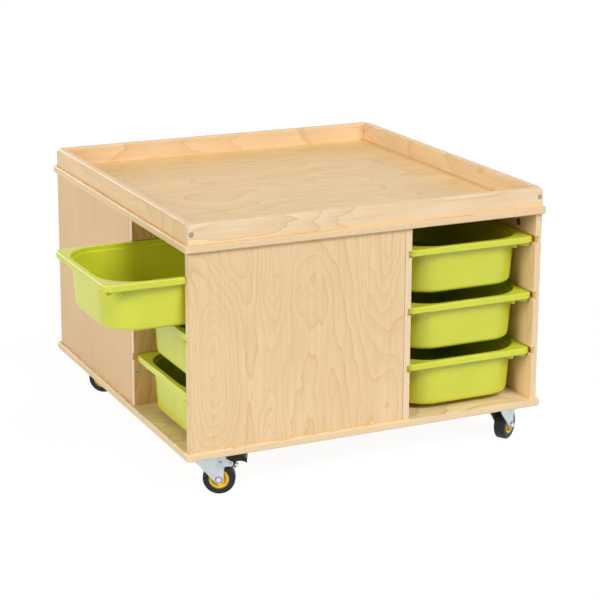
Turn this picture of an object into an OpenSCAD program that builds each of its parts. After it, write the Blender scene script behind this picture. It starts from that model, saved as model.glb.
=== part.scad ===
// Mobile play table: a square tray top on a pinwheel body of plywood boards.
// Each of its four faces has a closed panel on the left and, on the right, a bay
// with three moulded bins that slide on grooves. It rolls on four braked casters.
// The origin is on the floor below the middle of the table, with +Z up, and the
// front face looks along -Y.

/* [Table] */
// Width and depth of the top and bottom boards
board_w = 800; // [780:10:1000]
// Thickness of the plywood of the boards, panels and dividers
ply_t = 15; // [13:1:20]
// How far the top and bottom boards stand proud of the body
overhang = 8; // [5:1:20]
// Plan radius of the corners of the top and bottom boards
board_corner_r = 9; // [6:1:30]
// Rounding of the long edges of the top and bottom boards
board_edge_r = 3; // [1:0.5:5]
// Rounding of the upright edges of panels and dividers
panel_edge_r = 1; // [0.5:0.25:2]
// Height of the body between the two boards
body_h = 400; // [390:5:460]

/* [Tray rails] */
// Thickness of the rails round the play surface
rail_t = 15; // [12:1:20]
// Height of the rails above the play surface
rail_h = 40; // [30:1:80]
// Depth of the channel in the top board that the rails stand in
rail_seat = 3; // [2:0.5:4]
// Radius of the upper corners of the front and back rails
rail_corner_r = 10; // [4:1:18]
// Rounding of the rails' top edges
rail_edge_r = 3; // [1:0.5:5]

/* [Bays] */
// Clear width of a bay between its two grooved boards
bay_w = 288; // [260:2:320]
// Depth of a groove in the face of its board
groove_d = 7.5; // [6:0.5:9]
// Height of a groove
groove_h = 15; // [14.8:0.1:17]
// Distance from the top board down to the uppermost groove
groove_drop = 47; // [43:1:54]

/* [Bins] */
// How far the front of a closed bin stands back from the edges of its boards
bin_inset = 6; // [2:1:12]
// Space between a closed bin and the board behind it
bin_back_gap = 40; // [30:1:60]
// Height of a bin
bin_h = 101; // [80:1:105]
// Space between the lowest bin and the bottom board
bin_floor_gap = 10.3; // [6:0.1:20]
// Thickness of a bin's walls
bin_wall = 2.5; // [2:0.25:3]
// Height of the skirt that hangs from a bin's rim
skirt_h = 13; // [10:0.5:14.2]
// Width of the flat lip between a bin's opening and its rim
lip_w = 10.5; // [10:0.5:14]
// Plan radius of the rim's corners
rim_corner_r = 20; // [16:1:30]
// Rounding of the rim's upper edge
rim_edge_r = 2; // [1:0.25:2]
// Plan radius of the corners of a bin's opening
basin_corner_r = 76; // [45:1:80]
// Depth of the step inside a bin's opening
ledge_drop = 9.5; // [9:0.5:20]
// Width of the step inside a bin's opening
ledge_w = 5; // [3:0.5:6]
// Draft of a bin's walls in degrees
draft = 4.5; // [2:0.5:6]
// Radius between a bin's walls and its floor, outside
foot_r = 9; // [6:1:16]
// Height of the corner ribs below the rim's skirt
rib_drop = 9; // [5:0.5:12]
// Thickness of the corner ribs
rib_t = 3; // [2:0.25:4]
// Radius of the ribs' free corners
rib_corner_r = 4; // [2:0.5:4.5]
// Space between a bin's flange and the bottom of its groove
flange_clear = 1.5; // [1:0.25:2.5]
// Height at which a bin's flange rides above its groove's lower face
runner_gap = 0.3; // [0.2:0.05:0.5]
// Space between a bin that is pushed home and the end of its groove
stop_gap = 2; // [1.5:0.5:6]
// How far the top bin of the left face is pulled out
pulled_out = 170; // [0:5:240]

/* [Fixings] */
// Diameter of the wooden dowels
dowel_d = 8; // [6:1:8]
// Length of the wooden dowels
dowel_l = 29; // [24:1:34]
// Depth that dowels and connector bolts reach into the top and bottom boards
edge_bite = 9; // [7:0.5:10]
// Distance from the end of a panel to its first connector
connector_inset = 66; // [50:1:90]
// Distance between a connector and the dowel beside it
dowel_step = 32; // [24:1:40]
// Diameter of the connector discs
disc_d = 15; // [13:0.5:15.5]
// Depth of the connector discs in their board
disc_depth = 12; // [9:0.5:12.5]
// Distance from a board's edge to the middle of a connector disc
disc_inset = 31; // [28:1:35]
// Diameter of the connector bolts
connector_d = 6; // [5:0.5:7]
// Diameter of the frame screws' shanks
frame_screw_d = 5; // [4:0.5:6]
// Length of the frame screws
frame_screw_l = 50; // [40:1:60]
// Diameter of the frame screws' heads
frame_head_d = 10; // [8:0.5:11]
// Distance of the frame screws from the top and bottom boards
frame_screw_inset = 73; // [70:1:80]
// Diameter of the rail screws' shanks
rail_screw_d = 4; // [3:0.5:5]
// Length of the rail screws
rail_screw_l = 45; // [36:1:60]
// Diameter of the rail screws' heads
rail_head_d = 7; // [6:0.5:9]
// Space all round a fixing in its hole
hole_clear = 0.05; // [0.02:0.01:0.1]

/* [Casters] */
// Height of the casters from the floor to the bottom board
caster_h = 92; // [90:1:110]
// Distance of each caster's swivel axis from the edges of the bottom board
caster_inset = 62; // [55:1:90]
// Diameter of the wheels
wheel_d = 65; // [55:1:68]
// Width of the tyres
tyre_w = 24; // [20:1:25]
// Diameter of the hubs under the tyres
hub_d = 41; // [36:1:44]
// Distance from the swivel axis back to the axle
trail = 28; // [24:1:32]
// Diameter of the axles
axle_d = 8; // [6:0.5:10]
// Diameter of the kingpins
kingpin_d = 10; // [8:0.5:12]
// Width of the square mounting plates
plate_w = 62; // [56:1:70]
// Thickness of the mounting plates
plate_t = 2.5; // [2:0.25:3]
// Height of the raceway under the mounting plate
race_h = 4; // [3:0.5:5]
// Distance between the screws of a mounting plate
plate_screw_pitch = 46; // [44:1:50]
// Diameter of the mounting plates' screws
plate_screw_d = 4.4; // [3.5:0.1:5]
// Depth that the mounting plates' screws reach into the bottom board
plate_screw_bite = 12; // [10:0.5:12.5]
// Thickness of the fork's steel sheet
fork_t = 2.5; // [2:0.25:3]
// Clear width between the fork's legs
fork_gap = 28; // [27.8:0.1:30]
// Running gap between pieces of a caster that turn against each other
turn_gap = 0.4; // [0.3:0.05:0.8]
// Swivel of the front left caster from the +X direction
swivel_front_left = -26; // [-180:1:180]
// Swivel of the front right caster from the +X direction
swivel_front_right = 34; // [-180:1:180]
// Swivel of the back right caster from the +X direction
swivel_back_right = 15; // [-180:1:180]
// Swivel of the back left caster from the +X direction
swivel_back_left = -40; // [-180:1:180]

/* [Brakes] */
// Distance of the brake's pivot outwards from the axle
pivot_out = 23.3; // [22:0.1:26]
// Height of the brake's pivot above the axle
pivot_up = 33.5; // [33:0.1:36]
// Diameter of the brake's pivot pin
pivot_d = 5; // [4:0.5:6]
// Reach of the pedal outwards from the axle
pedal_reach = 56; // [50:1:60]
// Thickness of the pedal's plate
pedal_t = 3; // [2:0.25:4]
// Half the width of the pedal's tread beyond the fork
pedal_half_w = 17; // [14:0.5:20]
// Width across the flats of the brake's adjusting bolt
brake_bolt_af = 10; // [8:0.5:11]

/* [Hidden] */
$fn = 64;
FACES = ["front", "right", "back", "left"];
LEVELS = ["top", "middle", "bottom"];
CORNERS = ["front_left", "front_right", "back_right", "back_left"];
CASTER_PIECES = ["plate", "fork", "axle", "hub", "tyre", "brake_pedal", "brake_bolt"];

// Heights from the floor
floor_z = caster_h + ply_t;
top_z = floor_z + body_h;
play_z = top_z + ply_t;

// Plan of the body
body_w = board_w - 2 * overhang;
half_body = body_w / 2;
panel_l = body_w - bay_w - 2 * ply_t;
panel_end = panel_l - half_body;
bay_x = panel_end + ply_t;
bay_mid = bay_x + bay_w / 2;
over_cut = 1;
CORNER_SIGNS = [[1, 1], [-1, 1], [-1, -1], [1, -1]];

// Bins and grooves
bin_w = bay_w + 2 * (groove_d - flange_clear);
bin_l = panel_l - bin_inset - bin_back_gap;
flange_drop = groove_drop + groove_h - runner_gap - skirt_h;
bin_pitch = (body_h - flange_drop - bin_h - bin_floor_gap) / (len(LEVELS) - 1);
groove_l = bin_l + bin_inset + stop_gap;
groove_end_r = groove_h / 2;
basin_span_x = bin_w - 2 * (lip_w + basin_corner_r);
basin_span_y = bin_l - 2 * (lip_w + basin_corner_r);
rim_span_x = bin_w - 2 * rim_corner_r;
rim_span_y = bin_l - 2 * rim_corner_r;
rib_angles = [32, 46, 62];
rib_side_clear = 2;
rib_skirt_clear = 3;

// Fixings
connector_runs = [connector_inset, panel_l - connector_inset];
dowel_runs = [connector_inset + dowel_step, panel_l - connector_inset - dowel_step];
frame_head_h = 3;
rail_head_h = 2.5;
disc_slot = [8, 1.5, 2];
disc_side_panel = 1;
disc_side_divider = -1;

// Casters
caster_offset = board_w / 2 - caster_inset;
CASTER_SIGNS = [[-1, -1], [1, -1], [1, 1], [-1, 1]];
SWIVELS = [swivel_front_left, swivel_front_right, swivel_back_right, swivel_back_left];
axle_z = wheel_d / 2;
crown_z = caster_h - plate_t - race_h - turn_gap;
fork_w = fork_gap + 2 * fork_t;
fork_bend_r = 4;
fork_foot_r = 9;
fork_foot_cut = 0.1;
fork_back = 50;
fork_back_up = 40;
fork_front = 14;
leg_front = 10.5;
ear_r = 5.5;
ear_fillet_r = 5;
plate_corner_r = 8;
race_top_r = 19;
race_low_r = 16;
plate_head_r = 4;
plate_head_h = 2.5;
plate_head_taper = 1;
kingpin_head_r = 8.5;
kingpin_head_h = 3;
kingpin_head_taper = 1.5;
axle_flange_r = 7;
axle_flange_h = 1.2;
axle_head_r = 4.6;
axle_head_h = 3.4;
axle_head_taper = 1;
hub_boss_r = 8.5;
hub_rim_t = 5;
hub_rim_w = tyre_w - 1;
hub_web_w = 10;
tyre_shoulder_r = 5;
spring_pin = [3.1, 36.7];
spring_pin_d = 4;
pin_head_h = 1.5;

// Brakes, in a plane through the wheel with the axle at its origin
pivot = [pivot_out, pivot_up];
pedal_up = 50.5;
pedal_in = fork_front + 2;
pedal_end_r = 9.5;
pedal_end = [pedal_reach - pedal_end_r, pedal_up - pedal_end_r];
pedal_end_angle = -30;
tread_start = 33;
cheek_t = 2.5;
cheek_sink = 1;
cheek_tip_up = [-2, 3];
cheek_tip_low = [-3, -4];
cheek_step = [-3, -2];
cheek_neck = [10.4, 4];
cheek_waist = [5.2, -1];
cheek_half_w = fork_gap / 2 - turn_gap;
boss_r = 5.2;
arm_half_w = 6;
arm_w = 9;
arm_l = 9.5;
arm_angle = -42;
brake_head_h = 6;
brake_shank_d = 5;
brake_shank_start = 4;

birch = [0.90, 0.77, 0.58];
lime = [0.80, 0.85, 0.25];
zinc = [0.72, 0.76, 0.78];
hub_yellow = [0.95, 0.75, 0.10];
rubber = [0.22, 0.22, 0.24];
pedal_black = [0.12, 0.10, 0.09];
steel = [0.60, 0.60, 0.62];
beech = [0.78, 0.62, 0.42];

// ---------- plane shapes ----------

// A rectangle with rounded corners, centred on the origin
module rounded_rect(w, d, r) {
    square([w - 2 * r, d], center = true);
    square([w, d - 2 * r], center = true);
    for (sx = [-1, 1], sy = [-1, 1])
        translate([sx * (w / 2 - r), sy * (d / 2 - r)])
            circle(r);
}

// A rectangle standing on the X axis, with its two upper corners rounded
module arched(w, h, r) {
    translate([-w / 2, 0])
        square([w, h - r]);
    translate([r - w / 2, 0])
        square([w - 2 * r, h]);
    for (side = [-1, 1])
        translate([side * (w / 2 - r), h - r])
            circle(r);
}

// Where the line from a point outside a circle round the origin touches it
function touch_point(point, r, side) =
    let (a = atan2(point.y, point.x) + side * acos(r / norm(point)))
    [r * cos(a), r * sin(a)];

// ---------- helpers for solids ----------

// Turns a piece of the front face to another face of the pinwheel
module on_face(i) {
    rotate([0, 0, 90 * i])
        children();
}

// Sweeps a half section round a rounded rectangle. The section's X = 0 runs along
// the centres of the corners, and the rectangle between them stays open.
module swept(span_x, span_y) {
    for (i = [0 : 3])
        translate([CORNER_SIGNS[i].x * span_x / 2, CORNER_SIGNS[i].y * span_y / 2, 0])
            rotate([0, 0, 90 * i])
                rotate_extrude(angle = 90)
                    children();
    for (s = [-1, 1]) {
        translate([s * span_x / 2, s * span_y / 2, 0])
            rotate([90, 0, 90 - 90 * s])
                linear_extrude(span_y)
                    children();
        translate([-s * span_x / 2, s * span_y / 2, 0])
            rotate([90, 0, 90 * s])
                linear_extrude(span_x)
                    children();
    }
}
// The block between the corner centres, which a swept solid leaves open
module middle(span_x, span_y, z_low, z_high) {
    translate([-span_x / 2, -span_y / 2, z_low])
        cube([span_x, span_y, z_high - z_low]);
}

// A square board with rounded corners and rounded long edges, standing on z = 0
module soft_board(w, t, corner_r, edge_r) {
    span = w - 2 * corner_r;
    swept(span, span) {
        union() {
            translate([0, edge_r])
                square([corner_r, t - 2 * edge_r]);
            square([corner_r - edge_r, t]);
            for (z = [edge_r, t - edge_r])
                translate([corner_r - edge_r, z])
                    circle(edge_r);
        }
    }
    middle(span, span, 0, t);
}

// A hole along Z for a round piece, with clearance round it
module hole(d, l) {
    cylinder(h = l, d = d + 2 * hole_clear);
}

// ---------- upright boards ----------

// The panel and the divider of a face are one board, laid out in two ways. Its own
// frame has X along its length, Y through its thickness and Z up from its lower
// edge, and its grooves are in the face y = ply_t and start at the edge x = 0.
module as_panel() {
    translate([-half_body, -half_body, floor_z])
        children();
}

module as_divider() {
    translate([panel_end, -half_body, floor_z])
        mirror([1, -1, 0])
            children();
}

// Puts its children at the given runs along the board's lower and upper edges,
// with Z pointing from the joint into the board
module at_edges(runs) {
    for (run = runs, upper = [0, 1])
        translate([run, ply_t / 2, upper * body_h])
            rotate([180 * upper, 0, 0])
                children();
}

module edge_holes() {
    at_edges(dowel_runs)
        translate([0, 0, -edge_bite - hole_clear])
            hole(dowel_d, dowel_l + 2 * hole_clear);
    at_edges(connector_runs)
        translate([0, 0, -edge_bite - hole_clear])
            hole(connector_d, edge_bite + disc_inset);
}

// Puts its children at the connector discs, with Z pointing into the board from
// the side that the discs are seen on
module at_discs(side) {
    for (run = connector_runs, z = [disc_inset, body_h - disc_inset])
        translate([run, (1 + side) * ply_t / 2, z])
            rotate([side * 90, 0, 0])
                children();
}

// The grooves that the bins of one bay slide in
module grooves() {
    for (i = [0 : len(LEVELS) - 1])
        translate([0, ply_t, body_h - groove_drop - groove_h - i * bin_pitch]) {
            translate([-over_cut, -groove_d, 0])
                cube([groove_l - groove_end_r + over_cut, groove_d + over_cut, groove_h]);
            translate([groove_l - groove_end_r, over_cut, groove_end_r])
                rotate([90, 0, 0])
                    cylinder(h = groove_d + over_cut, r = groove_end_r);
        }
}

module upright_board(disc_side) {
    difference() {
        translate([panel_l / 2, ply_t / 2, 0])
            linear_extrude(body_h)
                rounded_rect(panel_l, ply_t, panel_edge_r);
        grooves();
        edge_holes();
        at_discs(disc_side)
            translate([0, 0, -over_cut])
                hole(disc_d, disc_depth + over_cut + hole_clear);
    }
}

// ---------- frame screws ----------

// Puts its children at the screws that hold the front divider to the front panel
// and to the divider behind it, with Z pointing from the head into the joint
module at_frame_screws() {
    for (z = [floor_z + frame_screw_inset, top_z - frame_screw_inset]) {
        translate([bay_x, ply_t / 2 - half_body, z])
            rotate([0, -90, 0])
                children();
        translate([bay_x - ply_t / 2, bay_x, z])
            rotate([90, 0, 0])
                children();
    }
}

module frame_screw() {
    cylinder(h = frame_head_h, d1 = frame_head_d, d2 = frame_screw_d);
    cylinder(h = frame_screw_l, d = frame_screw_d);
}

module frame_screw_hole() {
    hole(frame_screw_d, frame_screw_l + hole_clear);
    translate([0, 0, -over_cut])
        cylinder(h = frame_head_h + over_cut, d = frame_head_d + 2 * hole_clear);
}

// ---------- body ----------

module bottom_board() {
    color(birch)
        difference() {
            translate([0, 0, caster_h])
                soft_board(board_w, ply_t, board_corner_r, board_edge_r);
            all_edge_holes();
            at_plate_screws()
                translate([0, 0, -over_cut])
                    hole(plate_screw_d, plate_screw_bite + over_cut + hole_clear);
        }
}

// The rails stand in a channel of the top board, so that the play surface inside
// them is one flat square.
module top_board() {
    color(birch)
        difference() {
            translate([0, 0, top_z])
                soft_board(board_w, ply_t, board_corner_r, board_edge_r);
            all_edge_holes();
            translate([0, 0, play_z - rail_seat])
                linear_extrude(rail_seat + over_cut)
                    difference() {
                        square(body_w, center = true);
                        square(body_w - 2 * rail_t, center = true);
                    }
        }
}

module all_edge_holes() {
    for (i = [0 : 3])
        on_face(i) {
            as_panel()
                edge_holes();
            as_divider()
                edge_holes();
        }
}

// The closed panel of a face. The grooves in its back belong to the bay of the
// face on its left.
module panel() {
    color(birch)
        difference() {
            as_panel()
                upright_board(disc_side_panel);
            at_frame_screws()
                frame_screw_hole();
        }
}

// The divider beside a bay. It runs in until it meets the next divider of the
// pinwheel, whose screws hold its inner end.
module divider() {
    color(birch)
        difference() {
            as_divider()
                upright_board(disc_side_divider);
            for (i = [0, 3])
                on_face(i)
                    at_frame_screws()
                        frame_screw_hole();
        }
}

module frame_screws() {
    color(steel)
        for (i = [0 : 3])
            on_face(i)
                at_frame_screws()
                    frame_screw();
}

module dowels() {
    color(beech)
        for (i = [0 : 3])
            on_face(i) {
                as_panel()
                    edge_dowels();
                as_divider()
                    edge_dowels();
            }
}

module edge_dowels() {
    at_edges(dowel_runs)
        translate([0, 0, -edge_bite])
            cylinder(h = dowel_l, d = dowel_d);
}

module cam_fittings() {
    color(zinc)
        for (i = [0 : 3])
            on_face(i) {
                as_panel()
                    board_fittings(disc_side_panel);
                as_divider()
                    board_fittings(disc_side_divider);
            }
}

// The bolts and the slotted discs that draw one board to the boards above and below
module board_fittings(disc_side) {
    at_edges(connector_runs)
        translate([0, 0, -edge_bite])
            cylinder(h = edge_bite + disc_inset - disc_d / 2, d = connector_d);
    at_discs(disc_side)
        difference() {
            cylinder(h = disc_depth, d = disc_d);
            for (turn = [0, 90])
                rotate([0, 0, turn])
                    translate([-disc_slot.x / 2, -disc_slot.y / 2, -over_cut])
                        cube([disc_slot.x, disc_slot.y, disc_slot.z + over_cut]);
        }
}

// ---------- rails ----------

// A rail of the front, its outer face on y = 0
module rail_section(l) {
    translate([-l / 2, rail_t / 2, 0])
        rotate([90, 0, 90])
            linear_extrude(l)
                arched(rail_t, rail_seat + rail_h, rail_edge_r);
}

// The front and back rails run the body's full width and cover the ends of the
// others.
module long_rail() {
    color(birch)
        difference() {
            translate([0, -half_body, play_z - rail_seat])
                intersection() {
                    rail_section(body_w);
                    translate([0, rail_t, 0])
                        rotate([90, 0, 0])
                            linear_extrude(rail_t)
                                arched(body_w, rail_seat + rail_h, rail_corner_r);
                }
            at_rail_screws()
                rail_screw_hole();
        }
}

module short_rail() {
    color(birch)
        difference() {
            translate([0, -half_body, play_z - rail_seat])
                rail_section(body_w - 2 * rail_t);
            rotate([0, 0, 90])
                at_rail_screws()
                    rail_screw_hole();
        }
}

// Puts its children at the rail screws, with Z pointing from the head into the
// rail's end
module at_rail_screws() {
    for (sx = [-1, 1], sy = [-1, 1])
        translate([sx * (half_body - rail_t / 2), sy * half_body, play_z + rail_h / 2])
            rotate([sy * 90, 0, 0])
                children();
}

module rail_screws() {
    color(steel)
        at_rail_screws() {
            cylinder(h = rail_head_h, d1 = rail_head_d, d2 = rail_screw_d);
            cylinder(h = rail_screw_l, d = rail_screw_d);
        }
}

module rail_screw_hole() {
    hole(rail_screw_d, rail_screw_l + hole_clear);
    translate([0, 0, -over_cut])
        cylinder(h = rail_head_h + over_cut, d = rail_head_d + 2 * hole_clear);
}

// ---------- bins ----------

// Half section of the basin from its corner centres outwards, grown by the given
// skin. The foot is rounded, and the ledge is a step in the upper wall.
module basin_section(skin, z_top) {
    z_low = bin_wall - skin;
    z_ledge = bin_h - ledge_drop - skin;
    r_collar = basin_corner_r + skin;
    r_ledge = r_collar - ledge_w;
    fillet = foot_r - bin_wall + skin;
    r_foot = r_ledge - (z_ledge - z_low) * tan(draft) + fillet * tan(draft) - fillet / cos(draft);
    polygon([
        [0, z_low],
        [r_foot, z_low],
        [r_foot + fillet * cos(draft), z_low + fillet * (1 - sin(draft))],
        [r_ledge, z_ledge],
        [r_collar, z_ledge],
        [r_collar, z_top],
        [0, z_top]
    ]);
    translate([r_foot, z_low + fillet])
        circle(fillet);
}

module basin(skin, z_top) {
    swept(basin_span_x, basin_span_y)
        basin_section(skin, z_top);
    middle(basin_span_x, basin_span_y, bin_wall - skin, z_top);
}

// Half section of the rim: a flat lip with a rounded edge and a hanging skirt
module rim_section() {
    translate([0, bin_h - bin_wall])
        square([rim_corner_r - rim_edge_r, bin_wall]);
    translate([rim_corner_r - bin_wall, bin_h - skirt_h + bin_wall / 2])
        square([bin_wall, skirt_h - bin_wall / 2 - rim_edge_r]);
    translate([rim_corner_r - rim_edge_r, bin_h - rim_edge_r])
        circle(rim_edge_r);
    translate([rim_corner_r - bin_wall / 2, bin_h - skirt_h + bin_wall / 2])
        circle(bin_wall / 2);
}

module rim() {
    swept(rim_span_x, rim_span_y)
        rim_section();
    middle(rim_span_x, rim_span_y, bin_h - bin_wall, bin_h);
}

// Distance from a basin corner's centre to the inside of the skirt, along an angle
// from the bin's side
function skirt_reach(a) =
    let (
        c = basin_corner_r + lip_w - rim_corner_r,
        r = rim_corner_r - bin_wall,
        straight = (c + r) / max(cos(a), sin(a)),
        m = c * (cos(a) + sin(a))
    )
    straight * min(cos(a), sin(a)) <= c ? straight : m + sqrt(m * m - 2 * c * c + r * r);

// How far a rib may reach below the skirt without touching the bay's wall
function rib_reach(a) =
    min(skirt_reach(a) - rib_skirt_clear, (bay_w / 2 - rib_side_clear - basin_span_x / 2) / cos(a));

// A radial rib under the lip, with a rounded lug that hangs below the skirt
module corner_rib(a) {
    start = basin_corner_r - ledge_w + bin_wall / 2;
    low = bin_h - skirt_h - rib_drop;
    top = bin_h - bin_wall / 2;
    web_low = bin_h - skirt_h + bin_wall;
    reach = rib_reach(a);
    rotate([90, 0, 0])
        translate([0, 0, -rib_t / 2])
            linear_extrude(rib_t)
                union() {
                    translate([start, low + rib_corner_r])
                        square([reach - start, top - low - rib_corner_r]);
                    translate([start, low])
                        square([reach - rib_corner_r - start, rib_corner_r]);
                    translate([reach - rib_corner_r, low + rib_corner_r])
                        circle(rib_corner_r);
                    translate([start, web_low])
                        square([skirt_reach(a) + bin_wall / 2 - start, top - web_low]);
                }
}

module corner_ribs() {
    for (sign = CORNER_SIGNS, a = rib_angles)
        translate([sign.x * basin_span_x / 2, sign.y * basin_span_y / 2, 0])
            rotate([0, 0, sign.x > 0 ? sign.y * a : 180 - sign.y * a])
                corner_rib(a);
}

// A bin on z = 0, with its front towards -Y
module tray_bin() {
    difference() {
        union() {
            basin(bin_wall, bin_h);
            rim();
            corner_ribs();
        }
        basin(0, bin_h + over_cut);
    }
}

// The bin of a face and a level, pulled out of its bay by the given length
module bin(face, level, pull = 0) {
    color(lime)
        on_face(face)
            translate([
                bay_mid,
                bin_l / 2 - half_body + bin_inset - pull,
                top_z - flange_drop - level * bin_pitch - bin_h
            ])
                tray_bin();
}

// ---------- casters ----------

module at_kingpins() {
    for (sign = CASTER_SIGNS)
        translate([sign.x * caster_offset, sign.y * caster_offset, 0])
            children();
}

// Puts its children at one caster, with +X along its trail
module at_caster(i) {
    translate([CASTER_SIGNS[i].x * caster_offset, CASTER_SIGNS[i].y * caster_offset, 0])
        rotate([0, 0, SWIVELS[i]])
            children();
}

// Puts its children at one wheel's middle, with the axle along Z
module at_wheel(i) {
    at_caster(i)
        translate([trail, 0, axle_z])
            rotate([90, 0, 0])
                children();
}

// Puts its children at the plate screws' entries into the bottom board
module at_plate_screws() {
    at_kingpins()
        for (sx = [-1, 1], sy = [-1, 1])
            translate([sx * plate_screw_pitch / 2, sy * plate_screw_pitch / 2, caster_h])
                children();
}

module plate(i) {
    color(zinc)
        translate([CASTER_SIGNS[i].x * caster_offset, CASTER_SIGNS[i].y * caster_offset, 0])
            difference() {
                union() {
                    translate([0, 0, caster_h - plate_t])
                        linear_extrude(plate_t)
                            rounded_rect(plate_w, plate_w, plate_corner_r);
                    translate([0, 0, caster_h - plate_t - race_h])
                        cylinder(h = race_h, r1 = race_low_r, r2 = race_top_r);
                }
                translate([0, 0, caster_h - plate_t - race_h - over_cut])
                    hole(kingpin_d, plate_t + race_h + 2 * over_cut);
                for (sx = [-1, 1], sy = [-1, 1])
                    translate([sx * plate_screw_pitch / 2, sy * plate_screw_pitch / 2, 0])
                        translate([0, 0, caster_h - plate_t - over_cut])
                            hole(plate_screw_d, plate_t + 2 * over_cut);
            }
}

module plate_screws() {
    color(steel)
        at_plate_screws() {
            translate([0, 0, -plate_t])
                cylinder(h = plate_t + plate_screw_bite, d = plate_screw_d);
            translate([0, 0, -plate_t - plate_head_h])
                cylinder(h = plate_head_h, r1 = plate_head_r - plate_head_taper, r2 = plate_head_r);
        }
}

module kingpins() {
    head_top = crown_z - fork_t - turn_gap;
    color(steel)
        at_kingpins() {
            translate([0, 0, head_top])
                cylinder(h = caster_h - head_top, d = kingpin_d);
            translate([0, 0, head_top - kingpin_head_h])
                cylinder(h = kingpin_head_h, r1 = kingpin_head_r - kingpin_head_taper, r2 = kingpin_head_r);
        }
}

// Side view of the fork round the axle: a raked leg with a round foot, and an ear
// for the brake's pivot joined to the leg by a fillet
module fork_side() {
    crown_up = crown_z - axle_z;
    rake_top = [-fork_back, fork_back_up];
    difference() {
        union() {
            polygon([
                [-fork_back, crown_up],
                rake_top,
                touch_point(rake_top, fork_foot_r - fork_foot_cut, 1),
                [0, 0],
                [fork_foot_r, 0],
                [leg_front, pivot.y - ear_r],
                [pivot.x, pivot.y - ear_r],
                [pivot.x, pivot.y + ear_r],
                [fork_front, pivot.y + 2 * ear_r],
                [fork_front, crown_up]
            ]);
            circle(fork_foot_r);
            translate(pivot)
                circle(ear_r);
            translate([leg_front - over_cut, pivot.y - ear_r - ear_fillet_r])
                square(ear_fillet_r + over_cut);
        }
        translate([leg_front + ear_fillet_r, pivot.y - ear_r - ear_fillet_r])
            circle(ear_fillet_r);
    }
}

// The fork: a folded sheet cut to its side view, with the pins for the brake
module fork(i) {
    low = axle_z - fork_foot_r - over_cut;
    long = fork_back + pivot.x + ear_r;
    color(zinc)
        difference() {
            union() {
                intersection() {
                    at_wheel(i)
                        translate([0, 0, -fork_w / 2])
                            linear_extrude(fork_w)
                                fork_side();
                    at_caster(i)
                        translate([trail - fork_back, 0, low])
                            rotate([90, 0, 90])
                                linear_extrude(long)
                                    difference() {
                                        arched(fork_w, crown_z - low, fork_bend_r);
                                        arched(fork_gap, crown_z - low - fork_t, fork_bend_r - fork_t);
                                    }
                }
                at_wheel(i) {
                    translate([pivot.x, pivot.y, -fork_w / 2 - pin_head_h])
                        cylinder(h = fork_w + 2 * pin_head_h, d = pivot_d);
                    translate([spring_pin.x, spring_pin.y, -fork_w / 2 - pin_head_h])
                        cylinder(h = fork_w + 2 * pin_head_h, d = spring_pin_d);
                }
            }
            at_wheel(i)
                translate([0, 0, -fork_w / 2 - over_cut])
                    hole(axle_d, fork_w + 2 * over_cut);
            at_caster(i)
                translate([0, 0, crown_z - fork_t - over_cut])
                    hole(kingpin_d, fork_t + 2 * over_cut);
        }
}

module axle(i) {
    color(steel)
        at_wheel(i) {
            translate([0, 0, -fork_w / 2])
                cylinder(h = fork_w, d = axle_d);
            for (side = [0, 1])
                mirror([0, 0, side])
                    translate([0, 0, fork_w / 2]) {
                        cylinder(h = axle_flange_h, r = axle_flange_r);
                        cylinder(h = axle_flange_h + axle_head_h, r1 = axle_head_r + axle_head_taper, r2 = axle_head_r);
                    }
        }
}

module hub(i) {
    bore_r = axle_d / 2 + hole_clear;
    boss_w = fork_gap - 2 * turn_gap;
    color(hub_yellow)
        at_wheel(i)
            rotate_extrude() {
                translate([bore_r, -boss_w / 2])
                    square([hub_boss_r - bore_r, boss_w]);
                translate([bore_r, -hub_web_w / 2])
                    square([hub_d / 2 - bore_r, hub_web_w]);
                translate([hub_d / 2 - hub_rim_t, -hub_rim_w / 2])
                    square([hub_rim_t, hub_rim_w]);
            }
}

module tyre(i) {
    r_in = hub_d / 2;
    r_out = wheel_d / 2;
    color(rubber)
        at_wheel(i)
            rotate_extrude() {
                translate([r_in, -tyre_w / 2])
                    square([r_out - tyre_shoulder_r - r_in, tyre_w]);
                translate([r_in, tyre_shoulder_r - tyre_w / 2])
                    square([r_out - r_in, tyre_w - 2 * tyre_shoulder_r]);
                for (side = [-1, 1])
                    translate([r_out - tyre_shoulder_r, side * (tyre_w / 2 - tyre_shoulder_r)])
                        circle(tyre_shoulder_r);
            }
}

// Extrudes a side view of the brake to both sides of the wheel's middle plane
module across(half_w) {
    translate([0, 0, -half_w])
        linear_extrude(2 * half_w)
            children();
}

// Side view of the pedal's plate, which curls down at its outer end
module pedal_strip() {
    end = [cos(pedal_end_angle), sin(pedal_end_angle)] * 2 * pedal_end_r;
    inner_r = pedal_end_r - pedal_t;
    translate([pedal_in, pedal_up - pedal_t])
        square([pedal_end.x - pedal_in, pedal_t]);
    difference() {
        translate(pedal_end)
            circle(pedal_end_r);
        translate(pedal_end)
            circle(inner_r);
        translate(pedal_end)
            polygon([
                [0, inner_r],
                [0, 0],
                end,
                [end.x, -2 * pedal_end_r],
                [-2 * pedal_end_r, -2 * pedal_end_r],
                [-2 * pedal_end_r, inner_r]
            ]);
    }
}

// Side view of the cheeks that hang from the pedal's plate round the pivot
module cheek_side() {
    difference() {
        union() {
            polygon([
                [pedal_in, pedal_up - cheek_sink],
                [pedal_end.x, pedal_up - cheek_sink],
                [pedal_reach, pedal_end.y] + cheek_tip_up,
                [pedal_reach, pedal_end.y] + cheek_tip_low,
                pedal_end + cheek_step,
                pivot + cheek_neck,
                pivot + cheek_waist,
                pivot,
                [pivot.x - boss_r, pivot.y]
            ]);
            translate(pivot)
                circle(boss_r);
        }
        pivot_bore();
    }
}

module pivot_bore() {
    translate(pivot)
        circle(pivot_d / 2 + hole_clear);
}

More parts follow.
